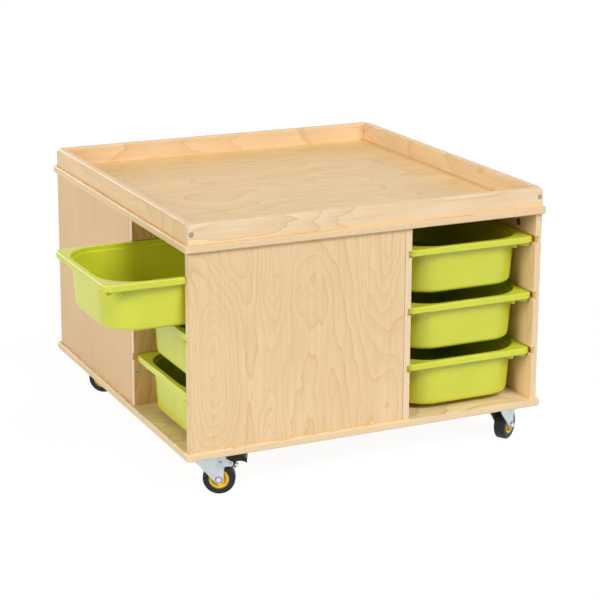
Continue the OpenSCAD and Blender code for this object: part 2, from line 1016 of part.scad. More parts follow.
// The arm that carries the adjusting bolt down to the wheel
module arm_side() {
    difference() {
        translate(pivot) {
            circle(boss_r);
            rotate(arm_angle)
                translate([0, -arm_w / 2])
                    square([arm_l, arm_w]);
        }
        pivot_bore();
    }
}

// Puts its children at the brake's pivot with Z along the arm
module along_arm(i) {
    at_wheel(i)
        translate([pivot.x, pivot.y, 0])
            rotate([0, 0, arm_angle])
                rotate([0, 90, 0])
                    children();
}

module brake_pedal(i) {
    color(pedal_black)
        difference() {
            at_wheel(i) {
                across(cheek_half_w)
                    pedal_strip();
                across(pedal_half_w)
                    intersection() {
                        pedal_strip();
                        translate([tread_start, 0])
                            square([pedal_reach, pedal_up]);
                    }
                for (side = [-1, 1])
                    translate([0, 0, side * (cheek_half_w - cheek_t / 2)])
                        across(cheek_t / 2)
                            cheek_side();
                across(arm_half_w)
                    arm_side();
                across(cheek_half_w)
                    difference() {
                        translate(pivot)
                            circle(boss_r);
                        pivot_bore();
                    }
            }
            along_arm(i)
                translate([0, 0, brake_shank_start - hole_clear])
                    hole(brake_shank_d, arm_l);
        }
}

module brake_bolt(i) {
    color(steel)
        along_arm(i) {
            translate([0, 0, brake_shank_start])
                cylinder(h = arm_l - brake_shank_start, d = brake_shank_d);
            translate([0, 0, arm_l])
                cylinder(h = brake_head_h, d = brake_bolt_af / cos(30), $fn = 6);
        }
}

bottom_board();
top_board();
long_rail();  // front_rail
on_face(2) long_rail();  // back_rail
on_face(1) short_rail();  // right_rail
on_face(3) short_rail();  // left_rail
rail_screws();
frame_screws();
dowels();
cam_fittings();
plate_screws();
kingpins();
for (i = [0 : 3]) {
    on_face(i) panel();
    on_face(i) divider();
    bin(i, 0, i == 3 ? pulled_out : 0);
    bin(i, 1);
    bin(i, 2);
    plate(i);
    fork(i);
    axle(i);
    hub(i);
    tyre(i);
    brake_pedal(i);
    brake_bolt(i);
}
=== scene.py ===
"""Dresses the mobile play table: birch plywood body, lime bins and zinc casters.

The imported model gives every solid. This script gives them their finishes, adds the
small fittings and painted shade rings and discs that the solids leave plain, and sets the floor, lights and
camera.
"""

import logging
import math
from collections.abc import Callable, Sequence
from dataclasses import dataclass, field
from enum import Enum

import bmesh
import bpy
from mathutils import Matrix, Vector

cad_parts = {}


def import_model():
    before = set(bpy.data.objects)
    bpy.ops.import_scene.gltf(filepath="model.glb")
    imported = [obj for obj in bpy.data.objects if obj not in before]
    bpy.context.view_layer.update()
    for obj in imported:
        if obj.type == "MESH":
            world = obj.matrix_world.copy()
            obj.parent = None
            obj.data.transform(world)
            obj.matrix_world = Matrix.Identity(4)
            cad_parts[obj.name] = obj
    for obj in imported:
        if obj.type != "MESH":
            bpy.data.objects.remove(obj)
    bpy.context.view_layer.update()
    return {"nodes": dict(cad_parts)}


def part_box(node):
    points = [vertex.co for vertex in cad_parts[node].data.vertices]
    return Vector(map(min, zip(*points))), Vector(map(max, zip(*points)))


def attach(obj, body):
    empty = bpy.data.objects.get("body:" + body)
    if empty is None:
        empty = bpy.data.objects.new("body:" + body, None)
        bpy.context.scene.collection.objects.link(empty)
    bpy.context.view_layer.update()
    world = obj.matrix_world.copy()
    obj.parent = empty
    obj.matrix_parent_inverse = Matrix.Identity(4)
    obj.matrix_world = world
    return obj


LOG = logging.getLogger("play_table")

Socket = bpy.types.NodeSocket
Feed = float | Sequence[float] | Socket
Tint = tuple[float, float, float]
Paint = tuple[int, int, int]

VECTOR = "NodeSocketVector"
FLOAT = "NodeSocketFloat"

FACES = ("front", "right", "back", "left")
LEVELS = ("top", "middle", "bottom")
CORNERS = ("front_left", "front_right", "back_right", "back_left")
CORNER_SIGNS = ((-1, -1), (1, -1), (1, 1), (-1, 1))
CASTER_OFFSET = 0.338
SWIVELS = (-26.0, 34.0, 15.0, -40.0)
TRAIL = 0.028
AXLE_HEIGHT = 0.0325
RING_STEPS = 48


class Axis(Enum):
    """An axis of the table's own frame."""

    X = 0
    Y = 1
    Z = 2


def linear(red: int, green: int, blue: int) -> tuple[float, float, float, float]:
    """Turns a display colour into the linear colour that shaders take.

    Args:
        red: Red from 0 to 255.
        green: Green from 0 to 255.
        blue: Blue from 0 to 255.

    Returns:
        The linear colour with full alpha.
    """
    parts = []
    for channel in (red, green, blue):
        share = channel / 255
        parts.append(share / 12.92 if share <= 0.04045 else ((share + 0.055) / 1.055) ** 2.4)
    return (parts[0], parts[1], parts[2], 1.0)


class Sheet:
    """A node tree with short calls that add nodes and join them."""

    def __init__(self, tree: bpy.types.NodeTree) -> None:
        """Takes the tree that the nodes go into."""
        self.tree = tree

    def node(self, kind: str, **settings: object) -> bpy.types.Node:
        """Adds a node.

        Args:
            kind: The node's type name.
            **settings: Properties to set on it.

        Returns:
            The new node.
        """
        node = self.tree.nodes.new(kind)
        for name, value in settings.items():
            setattr(node, name, value)
        return node

    def feed(self, socket: Socket, value: Feed) -> None:
        """Links a socket to another, or sets its value.

        Args:
            socket: The socket that takes the value.
            value: The other socket, or the value itself.
        """
        if isinstance(value, bpy.types.NodeSocket):
            self.tree.links.new(value, socket)
        else:
            socket.default_value = value

    def math(self, operation: str, first: Feed, second: Feed = 0.0, clamp: bool = False) -> Socket:
        """Adds a Math node.

        Args:
            operation: The operation's name.
            first: The first operand.
            second: The second operand, where there is one.
            clamp: Whether the result stays within 0 and 1.

        Returns:
            The result.
        """
        node = self.node("ShaderNodeMath", operation=operation, use_clamp=clamp)
        self.feed(node.inputs[0], first)
        self.feed(node.inputs[1], second)
        return node.outputs[0]

    def scaled(self, vector: Feed, factors: Sequence[float]) -> Socket:
        """Multiplies a vector by three factors."""
        return self.vector("MULTIPLY", vector, factors)

    def vector(self, operation: str, first: Feed, second: Feed) -> Socket:
        """Adds a Vector Math node.

        Args:
            operation: The operation's name.
            first: The first vector.
            second: The second vector.

        Returns:
            The result, a value for a dot product and a vector otherwise.
        """
        node = self.node("ShaderNodeVectorMath", operation=operation)
        self.feed(node.inputs[0], first)
        self.feed(node.inputs[1], second)
        return node.outputs["Value" if operation == "DOT_PRODUCT" else "Vector"]

    def noise(
        self, vector: Feed, factors: Sequence[float], detail: float = 2.0, rough: float = 0.5
    ) -> Socket:
        """Adds a noise pattern.

        Args:
            vector: The point.
            factors: Cells per metre along each axis.
            detail: Octaves.
            rough: Strength of the finer octaves.

        Returns:
            The noise from 0 to 1.
        """
        node = self.node("ShaderNodeTexNoise", noise_dimensions="3D")
        self.feed(node.inputs["Vector"], self.scaled(vector, factors))
        node.inputs["Scale"].default_value = 1.0
        node.inputs["Detail"].default_value = detail
        node.inputs["Roughness"].default_value = rough
        return node.outputs[0]

    def span(self, value: Feed, low: float, high: float, start: float = 0.0, end: float = 1.0) -> Socket:
        """Maps a value smoothly from one range to another.

        Args:
            value: The value.
            low: Value that gives the start.
            high: Value that gives the end.
            start: Result at the low value.
            end: Result at the high value.

        Returns:
            The mapped value.
        """
        node = self.node("ShaderNodeMapRange", interpolation_type="SMOOTHSTEP")
        self.feed(node.inputs["Value"], value)
        for label, limit in (("From Min", low), ("From Max", high), ("To Min", start), ("To Max", end)):
            node.inputs[label].default_value = limit
        return node.outputs[0]

    def blend(self, factor: Feed, first: Feed, second: Feed, mode: str = "MIX") -> Socket:
        """Mixes two colours.

        Args:
            factor: Share of the second colour.
            first: The first colour.
            second: The second colour.
            mode: How they mix.

        Returns:
            The mixed colour.
        """
        node = self.node("ShaderNodeMix", data_type="RGBA", blend_type=mode)
        self.feed(node.inputs[0], factor)
        self.feed(node.inputs[6], first)
        self.feed(node.inputs[7], second)
        return node.outputs[2]

    def parts(self, vector: Feed) -> tuple[Socket, Socket, Socket]:
        """Splits a vector.

        Args:
            vector: The vector.

        Returns:
            Its X, Y and Z.
        """
        node = self.node("ShaderNodeSeparateXYZ")
        self.feed(node.inputs[0], vector)
        return node.outputs[0], node.outputs[1], node.outputs[2]

    def joined(self, x: Feed, y: Feed, z: Feed) -> Socket:
        """Makes a vector.

        Args:
            x: Its X.
            y: Its Y.
            z: Its Z.

        Returns:
            The vector.
        """
        node = self.node("ShaderNodeCombineXYZ")
        for socket, value in zip(node.inputs, (x, y, z)):
            self.feed(socket, value)
        return node.outputs[0]

    def point(self) -> Socket:
        """Returns the point on the piece, in the table's frame."""
        return self.node("ShaderNodeTexCoord").outputs["Object"]

    def bump(self, height: Feed, strength: float, distance: float, soft: float = 0.0) -> Socket:
        """Turns a height into a normal.

        Args:
            height: The height.
            strength: Share of the bump.
            distance: Height in metres at full white.
            soft: Radius that sharp edges are softened by, in metres.

        Returns:
            The normal.
        """
        node = self.node("ShaderNodeBump")
        node.inputs["Strength"].default_value = strength
        node.inputs["Distance"].default_value = distance
        self.feed(node.inputs["Height"], height)
        if soft:
            edge = self.node("ShaderNodeBevel", samples=4)
            edge.inputs["Radius"].default_value = soft
            self.feed(node.inputs["Normal"], edge.outputs[0])
        return node.outputs[0]


Fill = Callable[[Sheet, dict[str, Socket]], dict[str, Socket]]


class Effect:
    """Shader groups that several finishes share. Each is built once.

    Attributes:
        built: The groups made so far, by name.
    """

    built: dict[str, bpy.types.NodeTree] = {}

    @classmethod
    def shared(
        cls, name: str, inputs: dict[str, str], outputs: Sequence[str], fill: Fill
    ) -> bpy.types.NodeTree:
        """Returns the group of that name, and builds it the first time.

        Args:
            name: The group's name.
            inputs: Socket types by input name.
            outputs: Names of its outputs, which are plain values.
            fill: Adds the nodes and returns the socket for each output.

        Returns:
            The group.
        """
        if name in cls.built:
            return cls.built[name]
        tree = bpy.data.node_groups.new(name, "ShaderNodeTree")
        for label, kind in inputs.items():
            tree.interface.new_socket(name=label, in_out="INPUT", socket_type=kind)
        for label in outputs:
            tree.interface.new_socket(name=label, in_out="OUTPUT", socket_type="NodeSocketFloat")
        sheet = Sheet(tree)
        start = sheet.node("NodeGroupInput")
        end = sheet.node("NodeGroupOutput")
        results = fill(sheet, {label: start.outputs[label] for label in inputs})
        for label, socket in results.items():
            tree.links.new(socket, end.inputs[label])
        cls.built[name] = tree
        return tree

    @staticmethod
    def place(sheet: Sheet, tree: bpy.types.NodeTree, values: dict[str, Feed]) -> bpy.types.Node:
        """Puts a group into a material with its own values.

        Args:
            sheet: The material's sheet.
            tree: The group.
            values: Values or links by input name.

        Returns:
            The group's node.
        """
        node = sheet.node("ShaderNodeGroup", node_tree=tree)
        for label, value in values.items():
            sheet.feed(node.inputs[label], value)
        return node


@dataclass(frozen=True)
class Knoll:
    """A hump in the height map whose contour lines are a board's growth rings.

    Attributes:
        across: Its place across the grain, in metres.
        along: Its place along the grain.
        width: Its reach across the grain.
        length: Its reach along the grain.
        rings: How many rings it rises, or falls when negative.
    """

    across: float
    along: float
    width: float
    length: float
    rings: float


def knoll_height() -> bpy.types.NodeTree:
    """Builds the height of one knoll, which fades like a bell curve.

    Returns:
        The shared group.
    """

    def fill(sheet: Sheet, given: dict[str, Socket]) -> dict[str, Socket]:
        """Adds the knoll's nodes.

        Args:
            sheet: The group's sheet.
            given: Its inputs by name.

        Returns:
            The height.
        """
        gap = sheet.vector("SUBTRACT", given["Point"], given["Centre"])
        gap = sheet.vector("DIVIDE", gap, given["Reach"])
        square = sheet.vector("DOT_PRODUCT", gap, gap)
        bell = sheet.math("EXPONENT", sheet.math("MULTIPLY", square, -1.0))
        return {"Height": sheet.math("MULTIPLY", bell, given["Rings"])}

    inputs = {"Point": VECTOR, "Centre": VECTOR, "Reach": VECTOR, "Rings": FLOAT}
    return Effect.shared("Knoll", inputs, ("Height",), fill)


def veneer_figure() -> bpy.types.NodeTree:
    """Builds the growth rings that a sheet of birch shows, like contour lines on a map.

    Returns:
        The shared group.
    """

    def fill(sheet: Sheet, given: dict[str, Socket]) -> dict[str, Socket]:
        """Adds the figure's nodes.

        Args:
            sheet: The group's sheet.
            given: Its inputs by name.

        Returns:
            The ring lines and the slow change from early to late wood.
        """
        point = given["Point"]
        swell = sheet.math("SUBTRACT", sheet.noise(point, (2.6, 8.5, 1.0), 1.0, 0.35), 0.5)
        ripple = sheet.math("SUBTRACT", sheet.noise(point, (11.0, 44.0, 1.0), 3.0, 0.58), 0.5)
        wild = sheet.span(sheet.noise(point, (3.0, 5.2, 1.3), 0.0), 0.40, 0.66, 0.25, 1.0)
        jag = sheet.math("MULTIPLY", sheet.math("MULTIPLY", ripple, wild), given["Wildness"])
        height = sheet.math("ADD", sheet.math("MULTIPLY", swell, given["Rings"]), jag)
        phase = sheet.math("FRACT", sheet.math("ADD", height, given["Base"]))
        line = sheet.math("MULTIPLY", sheet.span(phase, 0.80, 0.94), sheet.span(phase, 0.95, 1.0, 1.0, 0.0))
        fade = sheet.span(sheet.noise(point, (4.0, 12.0, 2.0), 1.0), 0.3, 0.62, 0.30, 1.0)
        season = sheet.math("MULTIPLY", sheet.span(phase, 0.0, 0.93), sheet.span(phase, 0.94, 1.0, 1.0, 0.0))
        return {"Ring": sheet.math("MULTIPLY", line, fade), "Season": season}

    inputs = {"Point": VECTOR, "Rings": FLOAT, "Wildness": FLOAT, "Base": FLOAT}
    return Effect.shared("Veneer figure", inputs, ("Ring", "Season"), fill)


def wood_fibre() -> bpy.types.NodeTree:
    """Builds the fibres, broad streaks and short pores of birch, with the grain along X.

    Returns:
        The shared group.
    """

    def fill(sheet: Sheet, given: dict[str, Socket]) -> dict[str, Socket]:
        """Adds the fibres' nodes.

        Args:
            sheet: The group's sheet.
            given: Its inputs by name.

        Returns:
            The masks of the fibres, streaks, clouds, pores and flecks.
        """
        point = given["Point"]
        fine = sheet.noise(point, (16.0, 520.0, 60.0), 2.0, 0.6)
        streak = sheet.noise(point, (5.0, 120.0, 20.0), 3.0, 0.55)
        cloud = sheet.noise(point, (5.0, 9.0, 3.0), 2.0, 0.5)
        pore = sheet.span(sheet.noise(point, (85.0, 900.0, 60.0), 1.0), 0.66, 0.80)
        fleck = sheet.span(sheet.noise(point, (48.0, 260.0, 30.0), 0.0), 0.80, 0.88)
        return {"Fine": fine, "Streak": streak, "Cloud": cloud, "Pore": pore, "Fleck": fleck}

    outputs = ("Fine", "Streak", "Cloud", "Pore", "Fleck")
    return Effect.shared("Wood fibre", {"Point": VECTOR}, outputs, fill)


def ply_layers() -> bpy.types.NodeTree:
    """Builds the layers and glue lines in a sawn edge of plywood.

    Returns:
        The shared group.
    """

    def fill(sheet: Sheet, given: dict[str, Socket]) -> dict[str, Socket]:
        """Adds the layers' nodes.

        Args:
            sheet: The group's sheet.
            given: Its inputs by name.

        Returns:
            The masks of the cross layers, the glue lines and the end grain.
        """
        waver = sheet.math("SUBTRACT", sheet.noise(given["Point"], (9.0, 9.0, 9.0), 2.0), 0.5)
        depth = sheet.math("ADD", given["Depth"], sheet.math("MULTIPLY", waver, 0.05))
        stack = sheet.math("MULTIPLY", depth, given["Layers"])
        cross = sheet.math("PINGPONG", sheet.math("ADD", stack, 0.5), 1.0)
        layer = sheet.span(cross, 0.40, 0.60)
        near = sheet.math("ABSOLUTE", sheet.math("SUBTRACT", cross, 0.5))
        glue = sheet.span(near, 0.02, 0.16, 1.0, 0.0)
        grain = sheet.noise(given["Point"], (150.0, 150.0, 900.0), 2.0, 0.6)
        return {"Cross layer": layer, "Glue": glue, "End grain": grain}

    inputs = {"Point": VECTOR, "Depth": FLOAT, "Layers": FLOAT}
    return Effect.shared("Ply layers", inputs, ("Cross layer", "Glue", "End grain"), fill)


def handling_marks() -> bpy.types.NodeTree:
    """Builds the faint scuffs, thin scratches and film of dust that come from use.

    Returns:
        The shared group.
    """

    def fill(sheet: Sheet, given: dict[str, Socket]) -> dict[str, Socket]:
        """Adds the marks' nodes.

        Args:
            sheet: The group's sheet.
            given: Its inputs by name.

        Returns:
            The masks of the scuffs, the scratches and the dust.
        """
        point = given["Point"]
        patch = sheet.span(sheet.noise(point, (18.0, 18.0, 18.0), 3.0, 0.6), 0.50, 0.72)
        hair = sheet.noise(point, (40.0, 700.0, 260.0), 2.0, 0.5)
        scratch = sheet.math("MULTIPLY", sheet.span(hair, 0.66, 0.74), patch)
        scuff = sheet.math("MULTIPLY", patch, given["Amount"])
        dust = sheet.noise(point, (350.0, 350.0, 350.0), 2.0, 0.6)
        return {"Scuff": scuff, "Scratch": scratch, "Dust": dust}

    inputs = {"Point": VECTOR, "Amount": FLOAT}
    return Effect.shared("Handling marks", inputs, ("Scuff", "Scratch", "Dust"), fill)


def blank_material(name: str) -> tuple[bpy.types.Material, Sheet, bpy.types.Node]:
    """Makes an empty material.

    Args:
        name: The material's name.

    Returns:
        The material, its sheet and its Principled shader.
    """
    material = bpy.data.materials.new(name)
    material.use_nodes = True
    tree = material.node_tree
    tree.nodes.clear()
    sheet = Sheet(tree)
    shader = sheet.node("ShaderNodeBsdfPrincipled")
    output = sheet.node("ShaderNodeOutputMaterial")
    tree.links.new(shader.outputs[0], output.inputs[0])
    return material, sheet, shader


@dataclass(frozen=True)
class BirchFinish:
    """Clear-lacquered birch plywood for one board.

    Attributes:
        name: The material's name.
        grain: Axis that the face grain runs along.
        depth: Axis through the board's thickness.
        low: The board's lowest corner, in metres.
        high: The board's highest corner, in metres.
        seed: Picks the board's own figure.
        rings: How many growth rings its slow swell crosses.
        wildness: How many rings the jagged parts cross.
        drift: Rings per metre across the grain, for straight-grained sheets.
        knolls: The humps that the sheet shows.
        face: Colour of the early wood.
        late: Colour of the ring lines.
        edge: Colour of the long-grain layers in the edge.
        speck: Colour of the pores and flecks.
        glue: Colour of the glue lines in the edge.
        seam: Colour that each face darkens to in the last millimetre before the board's two long edges.
        layers: How many layers the plywood has.
        gloss: How much the lacquer reflects.
        contrast: How strongly the figure shows.
        softness: Radius that the board's edges are rounded by, in metres.
    """

    name: str
    grain: Axis
    depth: Axis
    low: Sequence[float]
    high: Sequence[float]
    seed: float = 0.0
    rings: float = 7.0
    wildness: float = 1.2
    drift: float = 0.0
    knolls: tuple[Knoll, ...] = ()
    face: Paint = (242, 212, 170)
    late: Paint = (216, 174, 118)
    edge: Paint = (246, 221, 184)
    speck: Paint = (186, 142, 96)
    glue: Paint = (168, 122, 78)
    seam: Paint = (176, 138, 94)
    layers: float = 9.0
    gloss: float = 0.30
    contrast: float = 1.0
    softness: float = 0.0008

    def material(self) -> bpy.types.Material:
        """Builds the finish.

        Returns:
            The material.
        """
        material, sheet, shader = blank_material(self.name)
        ways = sheet.parts(sheet.point())
        across = ({0, 1, 2} - {self.grain.value, self.depth.value}).pop()
        turned = sheet.joined(ways[self.grain.value], ways[across], ways[self.depth.value])
        offset = (self.seed * 1.7, self.seed * 0.9, self.seed)
        grain_point = sheet.vector("ADD", turned, offset)

        figure = self._figure(sheet, grain_point, ways[across], ways[self.grain.value])
        fibre = Effect.place(sheet, wood_fibre(), {"Point": grain_point})
        layers = self._layers(sheet, grain_point, ways[self.depth.value])
        normal = sheet.node("ShaderNodeTexCoord").outputs["Normal"]
        facing = sheet.math("ABSOLUTE", sheet.parts(normal)[self.depth.value])
        on_edge = sheet.span(facing, 0.35, 0.75, 1.0, 0.0)

        face = self._face_colour(sheet, figure, fibre)
        colour = sheet.blend(on_edge, face, self._edge_colour(sheet, layers))
        rim = sheet.math("MULTIPLY", self._rim(sheet, ways[across], across), 0.6)
        seam = sheet.math("MULTIPLY", rim, sheet.math("SUBTRACT", 1.0, on_edge))
        sheet.feed(shader.inputs["Base Color"], sheet.blend(seam, colour, linear(*self.seam)))

        face_rough = sheet.span(fibre.outputs["Fine"], 0.2, 0.8, 0.32, 0.42)
        rough = sheet.math("ADD", face_rough, sheet.math("MULTIPLY", on_edge, 0.12))
        sheet.feed(shader.inputs["Roughness"], rough)
        relief = sheet.math("SUBTRACT", fibre.outputs["Fine"], fibre.outputs["Pore"])
        glue = sheet.math("MULTIPLY", layers.outputs["Glue"], on_edge)
        height = sheet.math("SUBTRACT", relief, sheet.math("MULTIPLY", glue, 1.5))
        sheet.feed(shader.inputs["Normal"], sheet.bump(height, 0.30, 0.0001, self.softness))
        shader.inputs["Specular IOR Level"].default_value = self.gloss
        shader.inputs["Coat Weight"].default_value = self.gloss * 0.3
        shader.inputs["Coat Roughness"].default_value = 0.22
        return material

    def _figure(self, sheet: Sheet, point: Socket, across: Socket, along: Socket) -> bpy.types.Node:
        """Adds the growth rings, raised by the sheet's own humps.

        Args:
            sheet: The material's sheet.
            point: The point with the grain along X.
            across: Its place across the board.
            along: Its place along the grain.

        Returns:
            The rings' node.
        """
        sway = sheet.math("SUBTRACT", sheet.noise(point, (7.0, 9.0, 1.0), 2.0, 0.5), 0.5)
        push = sheet.math("SUBTRACT", sheet.noise(point, (9.0, 16.0, 5.0), 2.0, 0.55), 0.5)
        flat = sheet.joined(
            sheet.math("ADD", across, sheet.math("MULTIPLY", sway, 0.045)),
            sheet.math("ADD", along, sheet.math("MULTIPLY", push, 0.10)),
            0.0,
        )
        base = sheet.math("MULTIPLY", across, self.drift)
        for knoll in self.knolls:
            bell = Effect.place(sheet, knoll_height(), {
                "Point": flat, "Centre": (knoll.across, knoll.along, 0.0),
                "Reach": (knoll.width, knoll.length, 1.0), "Rings": knoll.rings,
            })
            base = sheet.math("ADD", base, bell.outputs["Height"])
        return Effect.place(sheet, veneer_figure(), {
            "Point": point, "Rings": self.rings, "Wildness": self.wildness, "Base": base,
        })

    def _layers(self, sheet: Sheet, point: Socket, way: Socket) -> bpy.types.Node:
        """Adds the ply layers through the board's thickness.

        Args:
            sheet: The material's sheet.
            point: The point with the grain along X.
            way: Its place through the thickness.

        Returns:
            The layers' node.
        """
        start, end = self.low[self.depth.value], self.high[self.depth.value]
        depth = sheet.math("DIVIDE", sheet.math("SUBTRACT", way, start), end - start)
        return Effect.place(sheet, ply_layers(), {"Point": point, "Depth": depth, "Layers": self.layers})

    def _rim(self, sheet: Sheet, way: Socket, across: int) -> Socket:
        """Finds the last millimetre before the board's two long edges.

        Args:
            sheet: The material's sheet.
            way: The point's place across the board.
            across: Index of the axis across the board.

        Returns:
            1 at the edges and 0 inside.
        """
        middle = (self.low[across] + self.high[across]) / 2
        half = (self.high[across] - self.low[across]) / 2
        out = sheet.math("ABSOLUTE", sheet.math("SUBTRACT", way, middle))
        return sheet.span(out, half - 0.0014, half - 0.0002)

    def _face_colour(self, sheet: Sheet, figure: bpy.types.Node, fibre: bpy.types.Node) -> Socket:
        """Mixes the colour of the board's faces.

        Args:
            sheet: The material's sheet.
            figure: The growth rings.
            fibre: The fibres.

        Returns:
            The colour.
        """
        early = linear(*self.face)
        late = linear(*self.late)
        warm = sheet.span(fibre.outputs["Cloud"], 0.3, 0.7, 0.0, 0.16)
        colour = sheet.blend(warm, early, late)
        season = sheet.math("MULTIPLY", figure.outputs["Season"], 0.20 * self.contrast)
        colour = sheet.blend(season, colour, late)
        ring = sheet.math("MULTIPLY", figure.outputs["Ring"], 0.38 * self.contrast)
        colour = sheet.blend(ring, colour, late)
        streak = sheet.span(fibre.outputs["Streak"], 0.42, 0.72, 0.0, 0.18)
        colour = sheet.blend(streak, colour, late)
        pores = sheet.math("MULTIPLY", fibre.outputs["Pore"], 0.20)
        flecks = sheet.math("MULTIPLY", fibre.outputs["Fleck"], 0.22)
        specks = sheet.math("ADD", pores, flecks, clamp=True)
        return sheet.blend(specks, colour, linear(*self.speck))

    def _edge_colour(self, sheet: Sheet, layers: bpy.types.Node) -> Socket:
        """Mixes the colour of the board's sawn edges.

        Args:
            sheet: The material's sheet.
            layers: The ply layers.

        Returns:
            The colour.
        """
        cross = sheet.math("MULTIPLY", layers.outputs["Cross layer"], 0.22)
        colour = sheet.blend(cross, linear(*self.edge), linear(*self.late))
        tone = sheet.span(layers.outputs["End grain"], 0.3, 0.7, 0.0, 0.20)
        colour = sheet.blend(tone, colour, linear(*self.late))
        glue = sheet.math("MULTIPLY", layers.outputs["Glue"], 0.16)
        return sheet.blend(glue, colour, linear(*self.glue))


@dataclass(frozen=True)
class BinPlastic:
    """Glossy lime polypropylene with a fine moulded grain.

    Attributes:
        name: The material's name.
        body: Colour of the plastic.
        deep: Colour of the cloudy patches in the plastic.
        pale: Colour of the scratches.
        rough: Roughness of the clean plastic.
        gloss: How much it reflects.
        scatter: Share of the light that goes through it.
        reach: How far that light goes, in metres.
        softness: Radius that its edges are rounded by, in metres.
    """

    name: str = "Lime_plastic"
    body: Paint = (215, 221, 54)
    deep: Paint = (198, 208, 40)
    pale: Paint = (236, 240, 170)
    rough: float = 0.34
    gloss: float = 0.85
    scatter: float = 0.2
    reach: float = 0.006
    softness: float = 0.0009

    def material(self) -> bpy.types.Material:
        """Builds the finish.

        Returns:
            The material.
        """
        material, sheet, shader = blank_material(self.name)
        point = sheet.point()
        marks = Effect.place(sheet, handling_marks(), {"Point": point, "Amount": 0.6})
        cloud = sheet.span(sheet.noise(point, (9.0, 9.0, 14.0), 2.0, 0.5), 0.3, 0.7)
        colour = sheet.blend(sheet.math("MULTIPLY", cloud, 0.30), linear(*self.body), linear(*self.deep))
        scratch = sheet.math("MULTIPLY", marks.outputs["Scratch"], 0.35)
        colour = sheet.blend(scratch, colour, linear(*self.pale))
        sheet.feed(shader.inputs["Base Color"], colour)
        rough = sheet.math("ADD", self.rough, sheet.math("MULTIPLY", marks.outputs["Scuff"], 0.16))
        sheet.feed(shader.inputs["Roughness"], rough)
        grain = sheet.noise(point, (900.0, 900.0, 900.0), 2.0, 0.5)
        sheet.feed(shader.inputs["Normal"], sheet.bump(grain, 0.12, 0.0001, self.softness))
        shader.inputs["IOR"].default_value = 1.49
        shader.inputs["Specular IOR Level"].default_value = self.gloss
        shader.inputs["Subsurface Weight"].default_value = self.scatter
        shader.inputs["Subsurface Radius"].default_value = (1.0, 1.0, 0.15)
        shader.inputs["Subsurface Scale"].default_value = self.reach
        return material


@dataclass(frozen=True)
class MetalFinish:
    """Zinc-plated or bright steel with blotches, fine scratches and dulled patches.

    Attributes:
        name: The material's name.
        bright: Colour of the clean plate.
        dull: Colour of the passivated patches.
        rough: Roughness of the clean plate.
        grain: Patches per metre.
        scratch: Colour of the scratches.
        metallic: Share of the surface that is bare metal.
    """

    name: str
    bright: Paint = (214, 222, 226)
    dull: Paint = (176, 182, 178)
    rough: float = 0.30
    grain: float = 60.0
    scratch: Paint = (240, 242, 242)
    metallic: float = 0.82

    def material(self) -> bpy.types.Material:
        """Builds the finish.

        Returns:
            The material.
        """
        material, sheet, shader = blank_material(self.name)
        point = sheet.point()
        marks = Effect.place(sheet, handling_marks(), {"Point": point, "Amount": 0.8})
        blotch = sheet.span(sheet.noise(point, (self.grain,) * 3, 3.0, 0.6), 0.35, 0.68)
        colour = sheet.blend(sheet.math("MULTIPLY", blotch, 0.7), linear(*self.bright), linear(*self.dull))
        scratch = sheet.math("MULTIPLY", marks.outputs["Scratch"], 0.4)
        colour = sheet.blend(scratch, colour, linear(*self.scratch))
        sheet.feed(shader.inputs["Base Color"], colour)
        rough = sheet.math("ADD", self.rough, sheet.math("MULTIPLY", blotch, 0.18))
        sheet.feed(shader.inputs["Roughness"], rough)
        height = sheet.math("SUBTRACT", marks.outputs["Dust"], marks.outputs["Scratch"])
        sheet.feed(shader.inputs["Normal"], sheet.bump(height, 0.15, 0.00006))
        shader.inputs["Metallic"].default_value = self.metallic
        return material


@dataclass(frozen=True)
class PlasticFinish:
    """Moulded plastic or rubber with a soft grain and dust in it.

    Attributes:
        name: The material's name.
        body: Main colour.
        dusty: Colour of the dust or of worn parts.
        rough: Roughness of the clean surface.
        dust: How much dust lies on it.
        relief: Depth of the grain in metres.
        gloss: How much it reflects.
    """

    name: str
    body: Paint
    dusty: Paint
    rough: float = 0.45
    dust: float = 0.3
    relief: float = 0.00008
    gloss: float = 0.5

    def material(self) -> bpy.types.Material:
        """Builds the finish.

        Returns:
            The material.
        """
        material, sheet, shader = blank_material(self.name)
        point = sheet.point()
        marks = Effect.place(sheet, handling_marks(), {"Point": point, "Amount": 1.0})
        film = sheet.math("MULTIPLY", sheet.span(marks.outputs["Dust"], 0.35, 0.75), self.dust)
        film = sheet.math("ADD", film, sheet.math("MULTIPLY", marks.outputs["Scuff"], self.dust), clamp=True)
        sheet.feed(shader.inputs["Base Color"], sheet.blend(film, linear(*self.body), linear(*self.dusty)))
        rough = sheet.math("ADD", self.rough, sheet.math("MULTIPLY", film, 0.3))
        sheet.feed(shader.inputs["Roughness"], rough)
        sheet.feed(shader.inputs["Normal"], sheet.bump(marks.outputs["Dust"], 0.3, self.relief))
        shader.inputs["Specular IOR Level"].default_value = self.gloss
        return material


def dress(node: bpy.types.Object, material: bpy.types.Material) -> None:
    """Gives a node one material in all its slots.

    Args:
        node: The node.
        material: The material.
    """
    if not node.data.materials:
        node.data.materials.append(material)
    for index in range(len(node.material_slots)):
        node.material_slots[index].material = material


# The front rail's paler face is painted light where the key light falls, and the left rail's warmer, darker
# face is painted shade for its side
RAIL_LIT_AND_SHADED_FACES = {"front_rail": (250, 226, 190), "left_rail": (248, 214, 163)}
RAIL_FACE = (248, 221, 181)

